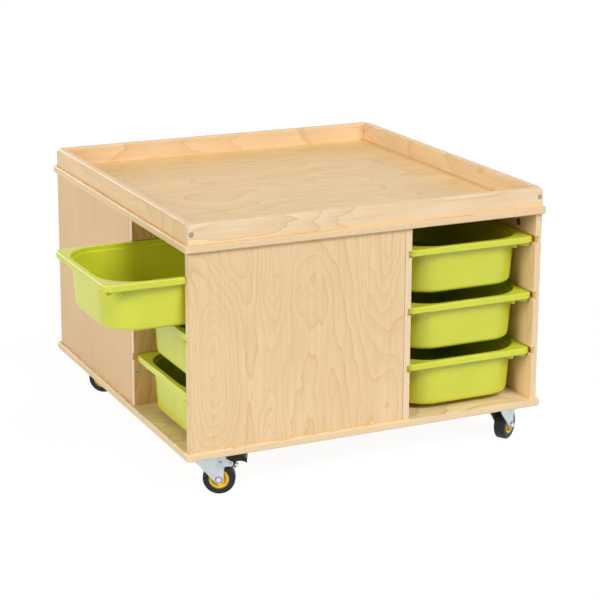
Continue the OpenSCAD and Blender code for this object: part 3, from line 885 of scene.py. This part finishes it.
# The humps of the front panel's sheet: place across and along, reach across and along, rings
FRONT_FIGURE = (
    Knoll(-0.347, 0.262, 0.048, 0.170, 8.2),
    Knoll(-0.380, 0.480, 0.030, 0.060, 2.4),
    Knoll(-0.290, 0.470, 0.040, 0.070, -2.2),
    Knoll(-0.213, 0.480, 0.030, 0.135, 4.4),
    Knoll(-0.224, 0.070, 0.022, 0.105, 4.6),
    Knoll(-0.129, 0.405, 0.042, 0.060, -2.6),
    Knoll(-0.139, 0.412, 0.012, 0.024, 1.9),
    Knoll(-0.118, 0.406, 0.011, 0.022, 1.7),
    Knoll(-0.105, 0.060, 0.085, 0.260, -5.0),
    Knoll(-0.105, 0.090, 0.022, 0.150, 3.2),
    Knoll(-0.010, 0.500, 0.022, 0.150, 2.6),
    Knoll(0.034, 0.490, 0.030, 0.130, 4.6),
    Knoll(0.040, 0.160, 0.040, 0.110, -2.6),
    Knoll(0.000, 0.060, 0.030, 0.060, 1.6),
)


@dataclass
class Carcase:
    """The plywood boards, rails and hidden fixings of the body.

    Attributes:
        nodes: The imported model's nodes by name.
        seeds: What picks each board's figure, by the board's name.
    """

    nodes: dict[str, bpy.types.Object]
    seeds: dict[str, float] = field(default_factory=lambda: {
        "front_panel": 3.2, "right_panel": 8.1, "back_panel": 12.7, "left_panel": 17.3,
        "front_divider": 21.0, "right_divider": 24.5, "back_divider": 27.9, "left_divider": 31.4,
        "front_rail": 36.2, "right_rail": 39.1, "back_rail": 42.8, "left_rail": 45.5,
        "top_board": 50.3, "bottom_board": 55.9,
    })

    def dress(self) -> None:
        """Gives every board its own figured sheet of birch."""
        for name, seed in self.seeds.items():
            finish = self._finish(name, seed)
            dress(self.nodes[name], finish.material())
            LOG.info("board %s: grain along %s", name, finish.grain.name)
        fitting = PlasticFinish("Dark_fitting", (84, 84, 78), (56, 55, 50), 0.45, 0.5, gloss=0.4)
        beech = PlasticFinish("Dowel_beech", (205, 168, 118), (176, 134, 86), 0.6, 0.5)
        bright = MetalFinish("Screw_steel").material()
        dress(self.nodes["cam_fittings"], fitting.material())
        dress(self.nodes["dowels"], beech.material())
        LOG.info("fixings cam_fittings and dowels")
        for name in ("rail_screws", "frame_screws", "plate_screws"):
            dress(self.nodes[name], bright)
            LOG.info("fixings %s", name)

    def _finish(self, name: str, seed: float) -> BirchFinish:
        """Chooses the way a board was cut from its sheet, and its colours, which for some boards hold painted
        light or painted shade.

        Args:
            name: The board's node.
            seed: Picks its figure.

        Returns:
            The board's finish.
        """
        low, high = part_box(name)
        sizes = [high[i] - low[i] for i in range(3)]
        depth = Axis(sizes.index(min(sizes)))
        label = "Birch_" + name
        if name.endswith("_rail"):
            along = Axis(sizes.index(max(sizes)))
            # The front and left rails take copies of the sheet with painted light and painted shade in their
            # faces
            face = RAIL_LIT_AND_SHADED_FACES.get(name, RAIL_FACE)
            return BirchFinish(label, along, depth, low, high, seed, 9.0, 1.4, face=face)
        if name == "top_board":
            return BirchFinish(
                label, Axis.X, depth, low, high, seed, 9.0, 1.0, face=(244, 208, 148), late=(214, 166, 100)
            )
        # The bottom board's near-white face is painted light that lifts the shade it lies in inside the bays;
        # its strong figure is its own
        if name == "bottom_board":
            return BirchFinish(
                label, Axis.X, depth, low, high, seed, 12.0, 1.2, face=(250, 228, 190), contrast=1.6
            )
        # The dividers' darker face and ring colours are painted shade for the inside of the bays; their
        # stronger figure is their own
        if name.endswith("_divider"):
            return BirchFinish(
                label, Axis.Z, depth, low, high, seed, 10.0, 1.2, 6.0,
                face=(224, 186, 130), late=(184, 138, 84), edge=(255, 232, 198), contrast=1.5,
            )
        # The left panel's darker, warmer face and ring colours are painted shade for the side away from the
        # key light; its straight grain is its own
        if name == "left_panel":
            return BirchFinish(
                label, Axis.Z, depth, low, high, seed, 2.4, 0.5, 58.0,
                face=(232, 195, 140), late=(206, 162, 106), contrast=0.6,
            )
        knolls = FRONT_FIGURE if name == "front_panel" else ()
        rings = 2.6 if knolls else 9.0
        drift = 13.0 if knolls else 4.0
        return BirchFinish(label, Axis.Z, depth, low, high, seed, rings, 1.2, drift, knolls)


@dataclass
class Bins:
    """The twelve sliding bins.

    Attributes:
        nodes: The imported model's nodes by name.
    """

    nodes: dict[str, bpy.types.Object]

    def dress(self) -> None:
        """Gives all the bins their lime plastic."""
        plastic = BinPlastic().material()
        for face in FACES:
            for level in LEVELS:
                dress(self.nodes[f"bin_{face}_{level}"], plastic)
            LOG.info("bins of the %s face", face)


@dataclass
class Casters:
    """The four swivel casters with their brakes.

    Attributes:
        nodes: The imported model's nodes by name.
    """

    nodes: dict[str, bpy.types.Object]

    def dress(self) -> None:
        """Gives each piece of each caster its finish."""
        finishes = {
            "plate": MetalFinish("Zinc_plate"),
            "fork": MetalFinish("Zinc_fork", (206, 216, 222), (182, 190, 190), 0.34, 38.0),
            "axle": MetalFinish("Bright_axle", (232, 236, 240), (200, 204, 208), 0.2),
            "hub": PlasticFinish("Yellow_hub", (248, 210, 44), (224, 184, 70), 0.38, 0.2),
            "tyre": PlasticFinish("Grey_tyre", (34, 33, 35), (66, 64, 64), 0.42, 0.2, 0.00012, 0.22),
            "brake_pedal": PlasticFinish("Black_pedal", (24, 19, 16), (64, 55, 46), 0.25, 0.2, gloss=0.3),
            "brake_bolt": MetalFinish("Bolt_steel", (205, 200, 196), (150, 142, 136), 0.32),
        }
        materials = {piece: finish.material() for piece, finish in finishes.items()}
        for piece, material in materials.items():
            for corner in CORNERS:
                dress(self.nodes[f"{piece}_{corner}"], material)
            LOG.info("caster piece %s", piece)
        dress(self.nodes["kingpins"], materials["axle"])


class Builder:
    """Makes one small piece out of rings and discs."""

    def __init__(self, name: str) -> None:
        """Starts an empty piece with that name."""
        self.name = name
        self.shape = bmesh.new()

    def ring(self, place: Matrix, inner: float, outer: float, low: float, high: float) -> None:
        """Adds a flat ring round the local Z axis.

        Args:
            place: Where the ring's own frame stands.
            inner: Inner radius in metres.
            outer: Outer radius.
            low: Where it starts along Z.
            high: Where it ends along Z.
        """
        size = Matrix.Diagonal((outer - inner, high - low, 1.0, 1.0))
        stand = Matrix.Rotation(math.radians(90), 4, "X")
        middle = Matrix.Translation(((inner + outer) / 2, 0.0, (low + high) / 2))
        made = bmesh.ops.create_grid(
            self.shape, x_segments=1, y_segments=1, size=0.5, matrix=place @ middle @ stand @ size
        )
        edges = list({edge for vertex in made["verts"] for edge in vertex.link_edges})
        faces = list({face for vertex in made["verts"] for face in vertex.link_faces})
        bmesh.ops.delete(self.shape, geom=faces, context="FACES_ONLY")
        axis = (place.to_3x3() @ Vector((0, 0, 1))).normalized()
        bmesh.ops.spin(
            self.shape, geom=edges + made["verts"], cent=place.translation, axis=axis,
            angle=math.tau, steps=RING_STEPS, use_merge=True,
        )

    def disc(self, place: Matrix, radius: float, low: float, high: float) -> None:
        """Adds a disc on the local Z axis with a slightly smaller outer face.

        Args:
            place: Where the disc's own frame stands.
            radius: Its radius in metres.
            low: Where it starts along Z.
            high: Where it ends along Z.
        """
        middle = Matrix.Translation((0.0, 0.0, (low + high) / 2))
        bmesh.ops.create_cone(
            self.shape, cap_ends=True, segments=RING_STEPS, radius1=radius,
            radius2=radius - (high - low) / 2, depth=high - low, matrix=place @ middle,
        )

    def finished(self, body: str, material: bpy.types.Material) -> bpy.types.Object:
        """Turns the shape into a piece that moves with a body.

        Args:
            body: The body that it moves with.
            material: Its finish.

        Returns:
            The piece.
        """
        bmesh.ops.recalc_face_normals(self.shape, faces=self.shape.faces)
        mesh = bpy.data.meshes.new(self.name)
        self.shape.to_mesh(mesh)
        self.shape.free()
        piece = bpy.data.objects.new(self.name, mesh)
        bpy.context.scene.collection.objects.link(piece)
        dress(piece, material)
        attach(piece, body)
        LOG.info("piece %s on %s", self.name, body)
        return piece


def quarter_turns() -> list[Matrix]:
    """Returns the turns that take the front face to each of the four faces."""
    return [Matrix.Rotation(math.radians(90 * index), 4, "Z") for index in range(len(FACES))]


@dataclass(frozen=True)
class Fittings:
    """Small parts that the solids leave plain: painted shade rings and discs for screw recesses, axles' heads
    and pins, cover caps and hub lips.

    Attributes:
        film: How far the painted shade discs and rings of the screw recesses, axles' heads and pins stand
            proud of what they lie on.
        sink_shade: Inner and outer radius of the painted shade ring round each rail screw's countersink.
        sink_film: How far those painted shade rings stand proud.
        socket_r: Radius of the painted shade disc for the recess in a rail screw's head.
        frame_socket_r: Radius of the painted shade disc for the recess in a frame screw's head.
        frame_screw_in: Distance of a frame screw from a panel's lower or upper end.
        cap_r: Radius of the cover caps.
        cap_rise: How far the caps stand proud.
        cap_in: Distance of a connector from a panel's end.
        cap_up: Height of the lower connectors over the floor board.
        lip: Inner and outer radius of the hubs' lips.
        lip_side: Where a lip starts and ends along the axle.
        fork_side: Distance of a fork's outer faces from the middle of the wheel.
        flange: Height of the axles' flanges on the fork.
        washer_shade: Inner and outer radius of the painted shade rings under the axles' heads, shaped like
            washers.
        pins: Place of each pin of a fork from the axle, and its radius.
        pin_rim: Width of the painted shade rings round the pins.
    """

    film: float = 0.0002
    sink_shade: tuple[float, float] = (0.0033, 0.0047)
    sink_film: float = 0.00015
    socket_r: float = 0.0014
    frame_socket_r: float = 0.0022
    frame_screw_in: float = 0.073
    cap_r: float = 0.0082
    cap_rise: float = 0.0006
    cap_in: float = 0.066
    cap_up: float = 0.031
    lip: tuple[float, float] = (0.0187, 0.0206)
    lip_side: tuple[float, float] = (0.0114, 0.0121)
    fork_side: float = 0.0165
    flange: float = 0.0012
    washer_shade: tuple[float, float] = (0.0058, 0.0072)
    pins: tuple[tuple[float, float, float], ...] = ((0.0031, 0.0367, 0.002), (0.0233, 0.0335, 0.0025))
    pin_rim: float = 0.0009

    def build(self) -> None:
        """Builds all the fittings."""
        self._screw_recess_shades()
        self._cover_caps()
        lip = PlasticFinish("Hub_lip", (150, 128, 84), (120, 108, 86), 0.5, 0.4).material()
        # Dark steel colour for the rings of painted shade round the axles' heads and pins
        washer_shade = MetalFinish("Washer_painted_shade", (104, 108, 114), (74, 76, 80), 0.35).material()
        for index, corner in enumerate(CORNERS):
            self._hub_lips(index, corner, lip)
            self._washer_shades(index, corner, washer_shade)

    def _screw_recess_shades(self) -> None:
        """Rings each rail screw with a dark ring of painted shade for its countersink and puts a round disc
        of painted shade on its head for the recess.
        """
        low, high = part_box("rail_screws")
        rail_low, rail_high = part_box("front_rail")
        x = rail_high[0] - (rail_high[1] - rail_low[1]) / 2
        z = (low[2] + high[2]) / 2
        # The rings and discs are painted shade for the countersinks and the recesses in the heads
        sink_shade = Builder("Rail_screw_countersink_shades")
        socket = Builder("Rail_screw_socket_shades")
        for side in (-1, 1):
            y = high[1] if side > 0 else low[1]
            for way in (-1, 1):
                turn = Matrix.Rotation(math.radians(-90 * side), 4, "X")
                place = Matrix.Translation((way * x, y, z)) @ turn
                sink_shade.ring(place, *self.sink_shade, 0.0, self.sink_film)
                socket.disc(place, self.socket_r, 0.0, self.film)
        shadow = PlasticFinish("Countersink_shadow", (92, 72, 52), (120, 96, 70), 0.7, 0.3).material()
        dark = PlasticFinish("Socket_shadow", (52, 52, 54), (80, 80, 80), 0.5, 0.3).material()
        sink_shade.finished("body", shadow)
        socket.finished("body", dark)
        self._frame_socket_shades(dark)

    def _frame_socket_shades(self, finish: bpy.types.Material) -> None:
        """Gives each frame screw that shows in a bay a dark disc of painted shade for its recess.

        Args:
            finish: The finish of the painted shade discs.
        """
        low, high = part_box("front_panel")
        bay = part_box("front_divider")[1][0]
        face = Matrix.Rotation(math.radians(90), 4, "Y")
        # Each disc is painted shade for the recess in a screw's head
        socket_shades = Builder("Frame_screw_socket_shades")
        for turn in quarter_turns():
            for z in (low[2] + self.frame_screw_in, high[2] - self.frame_screw_in):
                spot = Matrix.Translation((bay, (low[1] + high[1]) / 2, z))
                socket_shades.disc(turn @ spot @ face, self.frame_socket_r, 0.0, self.film)
        socket_shades.finished("body", finish)

    def _cover_caps(self) -> None:
        """Covers the lower connectors of the four panels with wood-coloured caps."""
        low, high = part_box("front_panel")
        face = Matrix.Rotation(math.radians(-90), 4, "X")
        caps = Builder("Connector_caps")
        for turn in quarter_turns():
            for x in (low[0] + self.cap_in, high[0] - self.cap_in):
                spot = Matrix.Translation((x, high[1], low[2] + self.cap_up))
                caps.disc(turn @ spot @ face, self.cap_r, 0.0, self.cap_rise)
        finish = PlasticFinish("Birch_cap", (232, 200, 154), (214, 178, 130), 0.45, 0.3).material()
        caps.finished("body", finish)

    def _wheel_place(self, index: int, side: int) -> Matrix:
        """Finds the middle of a wheel, with Z out along its axle.

        Args:
            index: The corner's index.
            side: Which end of the axle Z points to, -1 or 1.

        Returns:
            The place.
        """
        signs = CORNER_SIGNS[index]
        pivot = Matrix.Translation((signs[0] * CASTER_OFFSET, signs[1] * CASTER_OFFSET, AXLE_HEIGHT))
        swing = Matrix.Rotation(math.radians(SWIVELS[index]), 4, "Z")
        turn = Matrix.Rotation(math.radians(-90 * side), 4, "X")
        return pivot @ swing @ Matrix.Translation((TRAIL, 0.0, 0.0)) @ turn

    def _hub_lips(self, index: int, corner: str, finish: bpy.types.Material) -> None:
        """Puts a thin darker tan ring at the outer edge of each side of one hub.

        Args:
            index: The corner's index.
            corner: The corner's name.
            finish: The lips' finish.
        """
        lips = Builder(f"Hub_lips_{corner}")
        for side in (-1, 1):
            lips.ring(self._wheel_place(index, side), *self.lip, *self.lip_side)
        lips.finished(f"wheel_{corner}", finish)

    def _washer_shades(self, index: int, corner: str, finish: bpy.types.Material) -> None:
        """Puts dark rings of painted shade under the axle's heads and round the fork's pins.

        Args:
            index: The corner's index.
            corner: The corner's name.
            finish: The finish of the painted shade rings.
        """
        shade_rings = Builder(f"Washer_shades_{corner}")
        for side in (-1, 1):
            place = self._wheel_place(index, side)
            low = self.fork_side + self.flange
            shade_rings.ring(place, *self.washer_shade, low, low + self.film)
            for out, up, radius in self.pins:
                pin = place @ Matrix.Translation((out, -side * up, 0.0))
                outer = radius + self.pin_rim
                shade_rings.ring(pin, radius, outer, self.fork_side, self.fork_side + self.film)
        shade_rings.finished(f"caster_{corner}", finish)


@dataclass(frozen=True)
class Lamp:
    """A far, soft light.

    Attributes:
        name: Its name.
        energy: Its strength.
        angle: How wide it looks, in degrees.
        tint: Its colour.
        source: Where it stands, as a direction from the table.
    """

    name: str
    energy: float
    angle: float
    tint: Tint
    source: tuple[float, float, float]

    def hang(self) -> None:
        """Puts the light into the scene."""
        data = bpy.data.lights.new(self.name, "SUN")
        data.energy = self.energy
        data.color = self.tint
        data.angle = math.radians(self.angle)
        lamp = bpy.data.objects.new(self.name, data)
        lamp.rotation_euler = Vector(self.source).to_track_quat("Z", "Y").to_euler()
        bpy.context.scene.collection.objects.link(lamp)
        LOG.info("light %s", self.name)


@dataclass(frozen=True)
class Studio:
    """The floor, lights, world and camera.

    Attributes:
        eye: The camera's place in metres.
        yaw: Its heading from +Y towards +X, in degrees.
        pitch: Its tilt above the horizon, in degrees.
        roll: Its roll, in degrees.
        lens: Focal length in millimetres.
        sensor: Width of the sensor in millimetres.
        sight: How far the camera sees, in metres.
        rise: How far the lens is shifted, as a share of the picture.
        ambient: Strength of the pale world.
        reach: Half the width of the floor, in metres.
        paper: Brightness of the floor.
        lift: Share of the floor that is drawn white where it is seen.
        glow: Strength of that white.
        lamps: The lights.
    """

    eye: tuple[float, float, float] = (-1.63877, -3.50451, 1.39955)
    yaw: float = 25.4244
    pitch: float = -13.562
    roll: float = 0.3099
    lens: float = 110.69
    sensor: float = 36.0
    sight: float = 50.0
    rise: float = -0.15
    ambient: float = 0.08
    reach: float = 14.0
    paper: float = 0.86
    lift: float = 0.80
    glow: float = 1.14
    lamps: tuple[Lamp, ...] = (
        Lamp("Key", 2.00, 30.0, (1.0, 1.0, 1.0), (0.20, -0.70, 0.74)),
        Lamp("Fill", 1.52, 30.0, (1.0, 0.97, 0.90), (-0.90, -0.30, 0.40)),
        Lamp("Back", 1.10, 20.0, (1.0, 1.0, 1.0), (-0.10, 0.98, 0.16)),
        Lamp("Right", 1.00, 20.0, (1.0, 1.0, 1.0), (0.97, 0.18, 0.16)),
    )

    def camera(self) -> None:
        """Places the camera and makes it the scene's own."""
        yaw, pitch, roll = (math.radians(a) for a in (self.yaw, self.pitch, self.roll))
        ahead = Vector((math.sin(yaw) * math.cos(pitch), math.cos(yaw) * math.cos(pitch), math.sin(pitch)))
        right = ahead.cross(Vector((0, 0, 1))).normalized()
        up = right.cross(ahead)
        right, up = right * math.cos(roll) + up * math.sin(roll), up * math.cos(roll) - right * math.sin(roll)
        data = bpy.data.cameras.new("Camera")
        data.sensor_width = self.sensor
        data.lens = self.lens
        data.shift_y = self.rise
        data.clip_end = self.sight
        camera = bpy.data.objects.new("Camera", data)
        turn = Matrix((right, up, -ahead)).transposed().to_4x4()
        camera.matrix_world = Matrix.Translation(self.eye) @ turn
        bpy.context.scene.collection.objects.link(camera)
        bpy.context.scene.camera = camera

    def lights(self) -> None:
        """Adds the lamps and the pale world."""
        for lamp in self.lamps:
            lamp.hang()
        world = bpy.data.worlds.new("Studio_world")
        bpy.context.scene.world = world
        world.use_nodes = True
        sheet = Sheet(world.node_tree)
        world.node_tree.nodes.clear()
        shown = self._shown(sheet)
        ground = sheet.node("ShaderNodeBackground")
        strength = sheet.math("ADD", sheet.math("MULTIPLY", shown, 1.0 - self.ambient), self.ambient)
        ground.inputs["Color"].default_value = (1, 1, 1, 1)
        sheet.feed(ground.inputs["Strength"], strength)
        output = sheet.node("ShaderNodeOutputWorld")
        world.node_tree.links.new(ground.outputs[0], output.inputs[0])

    def floor(self) -> None:
        """Lays a wide white floor that keeps a faint shadow of the table."""
        mesh = bpy.data.meshes.new("Floor")
        shape = bmesh.new()
        bmesh.ops.create_grid(shape, x_segments=1, y_segments=1, size=self.reach)
        shape.to_mesh(mesh)
        shape.free()
        floor = bpy.data.objects.new("Floor", mesh)
        bpy.context.scene.collection.objects.link(floor)
        material, sheet, shader = blank_material("Floor_white")
        shader.inputs["Base Color"].default_value = (self.paper, self.paper, self.paper, 1)
        shader.inputs["Roughness"].default_value = 0.9
        shader.inputs["Specular IOR Level"].default_value = 0.1
        glow = sheet.node("ShaderNodeEmission")
        mixed = sheet.node("ShaderNodeMixShader")
        sheet.feed(mixed.inputs[0], sheet.math("MULTIPLY", self._shown(sheet), self.lift))
        sheet.feed(mixed.inputs[1], shader.outputs[0])
        sheet.feed(mixed.inputs[2], glow.outputs[0])
        glow.inputs["Strength"].default_value = self.glow
        output = next(n for n in sheet.tree.nodes if n.type == "OUTPUT_MATERIAL")
        sheet.feed(output.inputs[0], mixed.outputs[0])
        dress(floor, material)

    @staticmethod
    def _shown(sheet: Sheet) -> Socket:
        """Finds where the camera, a reflection or a clear material sees the surface.

        Args:
            sheet: The material's or the world's sheet.

        Returns:
            1 there and 0 for the light that the surface gives to others.
        """
        path = sheet.node("ShaderNodeLightPath")
        seen = sheet.math("MAXIMUM", path.outputs["Is Camera Ray"], path.outputs["Is Glossy Ray"])
        return sheet.math("MAXIMUM", seen, path.outputs["Is Transmission Ray"])


def main() -> None:
    """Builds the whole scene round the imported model."""
    logging.basicConfig(level=logging.INFO, format="%(message)s")
    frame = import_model()
    bpy.context.scene.view_settings.view_transform = "Standard"
    nodes = frame["nodes"]
    Carcase(nodes).dress()
    Bins(nodes).dress()
    Casters(nodes).dress()
    Fittings().build()
    studio = Studio()
    studio.floor()
    studio.lights()
    studio.camera()


if __name__ == "__main__":
    main()
